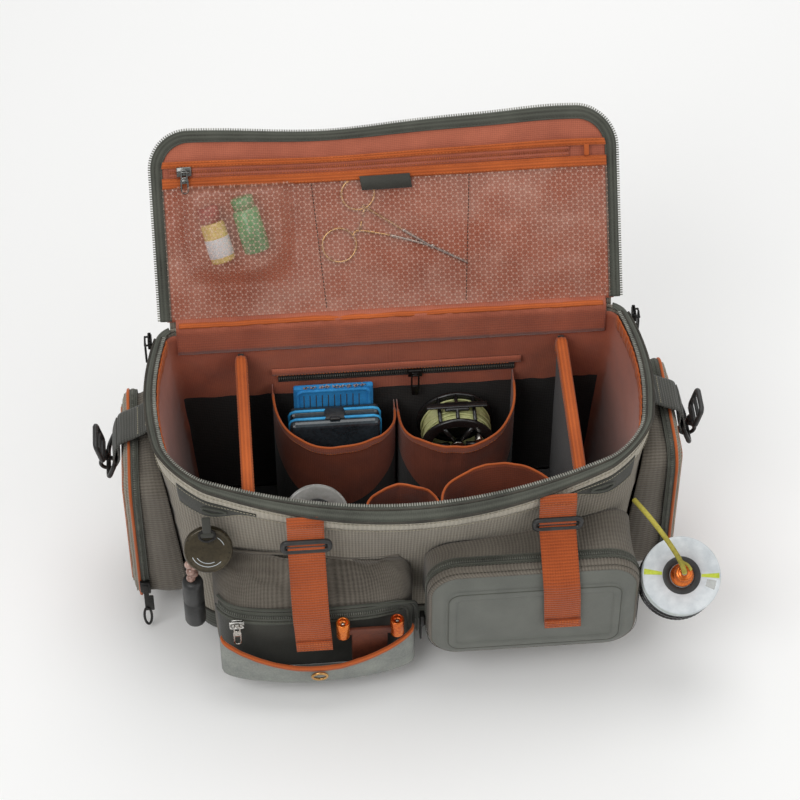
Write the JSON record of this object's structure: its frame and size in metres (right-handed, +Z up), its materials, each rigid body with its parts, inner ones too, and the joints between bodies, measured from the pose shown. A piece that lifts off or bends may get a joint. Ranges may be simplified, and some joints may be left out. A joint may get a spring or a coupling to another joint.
{
  "type": "soft-sided fishing tackle bag",
  "caption": "Soft rectangular tackle bag standing open: hinged zip lid with a window pocket, padded dividers, sewn cups, front and side zip pockets, straps and stowed tackle.",
  "frame": {"origin": "centre of the base, on the surface that the bag stands on", "axes": "+X to the right along the bag's length seen from the front, +Y to the back where the lid is hinged, +Z up"},
  "size_m": [0.583, 0.397, 0.3977],
  "materials": {
    "ripstop": "grey-tan ribbed ripstop",
    "lining_fabric": "terracotta lining cloth",
    "zip_tape": "charcoal zip tape and nylon coil",
    "orange_trim": "orange binding",
    "webbing_orange": "orange nylon webbing",
    "webbing_grey": "charcoal webbing",
    "divider_fabric": "charcoal padded laminate",
    "moulded_foam": "grey-green moulded foam",
    "base_tarpaulin": "coated base cloth",
    "stiffener": "sheet plastic",
    "window_film": "printed translucent film",
    "black_plastic": "moulded acetal",
    "silver_metal": "zinc, polished",
    "dark_metal": "gunmetal zinc",
    "gold_steel": "gold-tinted steel",
    "bottle_yellow": "yellow bottle",
    "bottle_green": "green bottle",
    "box_clear": "smoked box",
    "reel_black": "black anodised",
    "foam_blue": "blue closed-cell foam",
    "spool_clear": "clear styrene",
    "anodised_orange": "orange anodised",
    "olive_metal": "olive-brown enamel",
    "spool_label": "grey paper label on a spool"
  },
  "bodies": {
    "bag": {"body_shell": "ripstop", "lining": "lining_fabric", "base_panel": "base_tarpaulin", "base_board": "stiffener", "rim_zip": "zip_tape", "rim_binding": "orange_trim", "hinge_binding": "orange_trim", "rear_zip": "zip_tape", "rear_cup_left": "lining_fabric", "rear_cup_right": "lining_fabric", "inner_pocket_left": "lining_fabric", "inner_pocket_right": "lining_fabric", "corner_tabs": "webbing_grey", "strap_left": "webbing_orange", "strap_right": "webbing_orange", "strap_bars": "black_plastic", "front_pocket": "ripstop", "pocket_zip": "zip_tape", "slip_pocket": "moulded_foam", "pod_gusset": "ripstop", "pod_zip": "zip_tape", "pod_shell": "moulded_foam", "side_pocket_left": "ripstop", "side_pocket_right": "ripstop", "side_zips": "zip_tape", "web_tabs": "webbing_grey", "side_rings": "black_plastic", "fly_box": "box_clear", "fly_reel": "reel_black", "foam_strip": "foam_blue", "clear_spool": "spool_clear", "tool_bar": "anodised_orange", "spool_post": "anodised_orange"},
    "lid": {"lid_panel": "ripstop", "lid_lining": "lining_fabric", "lid_zip": "zip_tape", "lid_window": "window_film", "lid_pocket_zip": "orange_trim", "forceps": "gold_steel", "bottle_yellow": "bottle_yellow", "bottle_green": "bottle_green"},
    "left_main_slider": {"main_slider_left": "dark_metal"},
    "right_main_slider": {"main_slider_right": "dark_metal"},
    "left_main_pull": {"main_pull_left": "black_plastic"},
    "right_main_pull": {"main_pull_right": "black_plastic"},
    "rear_zip_slider": {"rear_slider": "dark_metal"},
    "lid_zip_slider": {"lid_slider": "silver_metal"},
    "lid_zip_pull": {"lid_pull": "silver_metal"},
    "pocket_zip_slider": {"pocket_slider": "silver_metal"},
    "pocket_zip_pull": {"pocket_pull": "silver_metal"},
    "pod_zip_slider": {"pod_slider": "black_plastic"},
    "left_side_slider": {"side_slider_left": "dark_metal"},
    "right_side_slider": {"side_slider_right": "dark_metal"},
    "left_divider": {"divider_left": "divider_fabric"},
    "right_divider": {"divider_right": "divider_fabric"},
    "left_hook": {"hook_left": "black_plastic"},
    "right_hook": {"hook_right": "black_plastic"},
    "hung_retractor": {"retractor": "olive_metal"},
    "top_spool": {"tippet_spool": "spool_label"},
    "spare_spools": {"lower_spools": "black_plastic"}
  },
  "joints": [
    {"name": "lid_hinge", "type": "hinge", "parent": "bag", "child": "lid", "pos_m": [0, 0.09, 0.247], "axis": [1, 0, 0], "range_deg": [-20, 125]},
    {"name": "left_main_zip", "type": "slide", "parent": "bag", "child": "left_main_slider", "axis": [-0.1806, -0.9835, 0], "range_m": [0, 0.048]},
    {"name": "left_main_pull_swing", "type": "hinge", "parent": "left_main_slider", "child": "left_main_pull", "pos_m": [-0.2373, 0.074, 0.243], "axis": [0, 1, 0], "range_deg": [0, 70]},
    {"name": "right_main_zip", "type": "slide", "parent": "bag", "child": "right_main_slider", "axis": [0.1806, -0.9835, 0], "range_m": [0, 0.048]},
    {"name": "right_main_pull_swing", "type": "hinge", "parent": "right_main_slider", "child": "right_main_pull", "pos_m": [0.2373, 0.074, 0.243], "axis": [0, -1, 0], "range_deg": [0, 70]},
    {"name": "rear_zip", "type": "slide", "parent": "bag", "child": "rear_zip_slider", "axis": [1, 0, 0], "range_m": [-0.11, 0.07]},
    {"name": "lid_pocket_zip", "type": "slide", "parent": "lid", "child": "lid_zip_slider", "axis": [1, 0, 0], "range_m": [0, 0.37]},
    {"name": "lid_pull_swing", "type": "hinge", "parent": "lid_zip_slider", "child": "lid_zip_pull", "pos_m": [-0.19, 0.16735, 0.37229], "axis": [1, 0, 0], "range_deg": [-60, 0]},
    {"name": "front_pocket_zip", "type": "slide", "parent": "bag", "child": "pocket_zip_slider", "axis": [1, 0, 0], "range_m": [0, 0.08]},
    {"name": "pocket_pull_swing", "type": "hinge", "parent": "pocket_zip_slider", "child": "pocket_zip_pull", "pos_m": [-0.165, -0.1695, 0.1045], "axis": [1, 0, 0], "range_deg": [-60, 0]},
    {"name": "pod_zip", "type": "slide", "parent": "bag", "child": "pod_zip_slider", "axis": [0, 0, 1], "range_m": [-0.02, 0.05]},
    {"name": "left_side_zip", "type": "slide", "parent": "bag", "child": "left_side_slider", "axis": [0, 0, 1], "range_m": [0, 0.11]},
    {"name": "right_side_zip", "type": "slide", "parent": "bag", "child": "right_side_slider", "axis": [0, 0, 1], "range_m": [0, 0.11]},
    {"name": "left_divider_shift", "type": "slide", "parent": "bag", "child": "left_divider", "axis": [1, 0, 0], "range_m": [-0.025, 0.02]},
    {"name": "right_divider_shift", "type": "slide", "parent": "bag", "child": "right_divider", "axis": [1, 0, 0], "range_m": [-0.013, 0.012]},
    {"name": "left_hook_swing", "type": "hinge", "parent": "bag", "child": "left_hook", "pos_m": [-0.2787, -0.005, 0.1609], "axis": [0, -1, 0], "range_deg": [-5, 95]},
    {"name": "right_hook_swing", "type": "hinge", "parent": "bag", "child": "right_hook", "pos_m": [0.2787, -0.005, 0.1609], "axis": [0, 1, 0], "range_deg": [-5, 95]},
    {"name": "retractor_swing", "type": "hinge", "parent": "bag", "child": "hung_retractor", "pos_m": [-0.187, -0.127, 0.206], "axis": [0, 1, 0], "range_deg": [-3, 15]},
    {"name": "tippet_spool_spin", "type": "hinge", "parent": "bag", "child": "top_spool", "pos_m": [0.252, -0.165, 0.137], "axis": [0, -0.5, 0.866], "continuous": true},
    {"name": "spare_spool_spin", "type": "hinge", "parent": "bag", "child": "spare_spools", "pos_m": [0.252, -0.165, 0.137], "axis": [0, -0.5, 0.866], "continuous": true}
  ]
}
